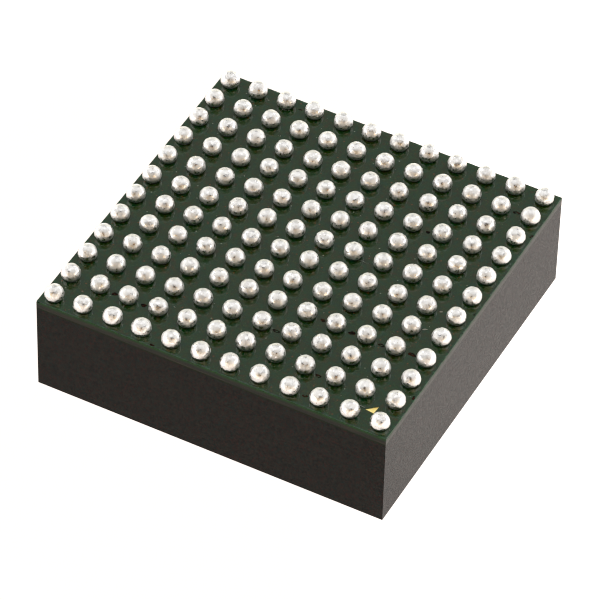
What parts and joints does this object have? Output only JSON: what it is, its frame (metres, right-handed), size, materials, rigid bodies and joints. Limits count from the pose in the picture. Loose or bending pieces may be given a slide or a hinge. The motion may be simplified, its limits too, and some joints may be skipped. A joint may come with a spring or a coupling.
{
  "type": "encapsulated step-down power module",
  "caption": "Moulded square DC-DC converter module with a full grid of solder balls on a green laminate, an overmoulded circuit inside and a flat face for a heatsink.",
  "frame": {"origin": "centre of the flat moulded face that the module lies on", "axes": "+Z from the moulded face to the solder balls, +X along the edge that ends at the pin-one corner, +Y away from the rows next to that edge; the pin-one ball is at +X, -Y"},
  "size_m": [0.015, 0.015, 0.005],
  "materials": {
    "mould_compound": "matte, sawn sides with fine streaks",
    "solder_mask": "glossy green mask",
    "laminate": "sawn glass-fibre laminate",
    "copper": "bare copper",
    "gold_plate": "gold plating over copper",
    "solder": "reflowed solder, finely wrinkled",
    "ferrite": "sintered dark grey",
    "silicon": "bare silicon die",
    "die_epoxy": "silver-filled epoxy",
    "gold_wire": "drawn gold wire",
    "capacitor_ceramic": "fired brown ceramic",
    "resistor_body": "black glazed chip",
    "tin_terminal": "matte tin plating"
  },
  "bodies": {
    "root": {"mould_cap": "mould_compound", "substrate_core": "laminate", "plated_vias": "copper", "ball_side_copper": "copper", "pin_one_mark": "gold_plate", "ball_side_solder_mask": "solder_mask", "component_side_copper": "copper", "component_side_solder_mask": "solder_mask", "solder_balls": "solder", "left_inductor_base": "ferrite", "right_inductor_base": "ferrite", "left_inductor_cap": "ferrite", "right_inductor_cap": "ferrite", "left_inductor_strap": "copper", "right_inductor_strap": "copper", "low_side_mosfets": "silicon", "high_side_mosfets": "silicon", "mosfet_clips": "copper", "clip_solder": "solder", "controller_die": "silicon", "controller_die_attach": "die_epoxy", "controller_bond_wires": "gold_wire", "input_capacitors": "capacitor_ceramic", "input_capacitor_terminals": "tin_terminal", "output_capacitors": "capacitor_ceramic", "output_capacitor_terminals": "tin_terminal", "small_capacitors": "capacitor_ceramic", "small_capacitor_terminals": "tin_terminal", "resistors": "resistor_body", "resistor_terminals": "tin_terminal", "component_solder_joints": "solder"}
  },
  "joints": []
}
